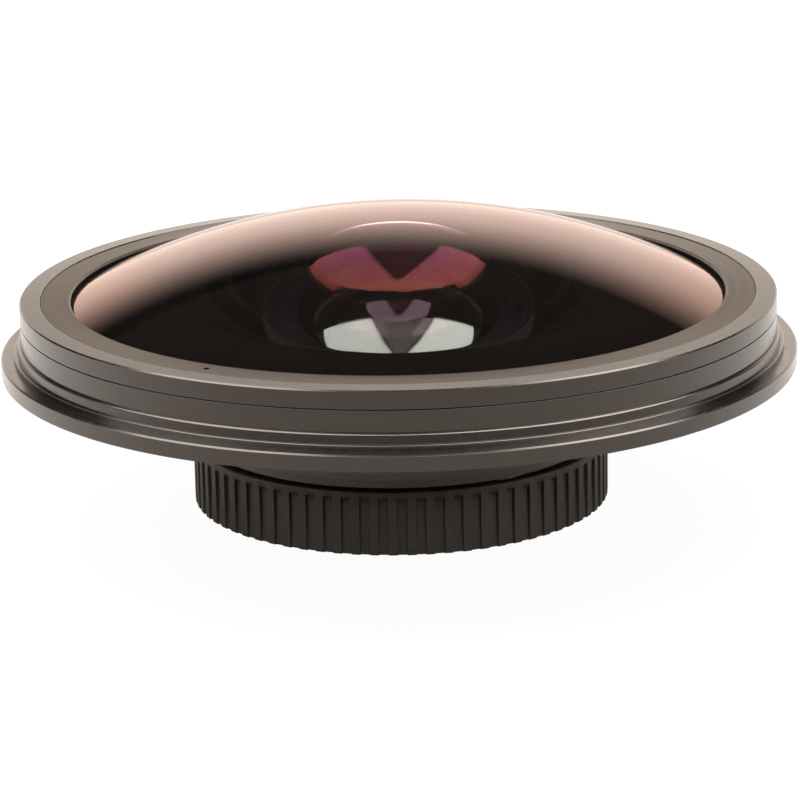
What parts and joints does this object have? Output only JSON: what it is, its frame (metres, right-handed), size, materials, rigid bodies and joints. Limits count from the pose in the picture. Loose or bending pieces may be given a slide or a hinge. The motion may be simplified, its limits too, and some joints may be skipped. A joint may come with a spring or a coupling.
{
  "type": "fisheye conversion lens",
  "caption": "Wide fisheye conversion lens: domed coated front glass in a flanged round barrel, inner lens cell and threaded rear mount, standing on a ribbed screw-on rear cap.",
  "frame": {"origin": "centre of the rear cap's underside, on the surface that the lens stands on", "axes": "+Z along the optical axis towards the front glass; +X to the right and +Y away in the pictured view"},
  "size_m": [0.148, 0.148, 0.0532],
  "materials": {
    "coated_glass": "polished, pink anti-reflection coating",
    "inner_glass": "polished, magenta anti-reflection coating",
    "anodised_metal": "fine bead-blasted, dark brown-grey anodised",
    "ring_metal": "fine turned, brown-grey anodised",
    "blackened_metal": "matt black anodised",
    "screw_steel": "black oxide",
    "seal_rubber": "matt black",
    "cap_plastic": "moulded matt black"
  },
  "bodies": {
    "lens": {"front_element": "coated_glass", "front_retaining_ring": "ring_metal", "front_ring": "anodised_metal", "front_seal": "seal_rubber", "glass_bed_washer": "seal_rubber", "main_barrel": "anodised_metal", "rear_body": "anodised_metal", "body_screws": "screw_steel", "lens_cell": "blackened_metal", "cell_lock_ring": "blackened_metal", "light_baffle": "blackened_metal", "second_element": "inner_glass", "second_element_shim": "seal_rubber", "second_retaining_ring": "blackened_metal", "element_spacer": "blackened_metal", "doublet_front": "inner_glass", "doublet_rear": "inner_glass", "rear_retaining_ring": "blackened_metal", "mount_ring": "anodised_metal", "mount_grub_screws": "screw_steel"},
    "cap": {"rear_cap": "cap_plastic"}
  },
  "joints": [
    {"name": "cap_slide", "type": "slide", "parent": "cap", "child": "lens", "axis": [0, 0, 1], "range_m": [0, 0.06]}
  ]
}
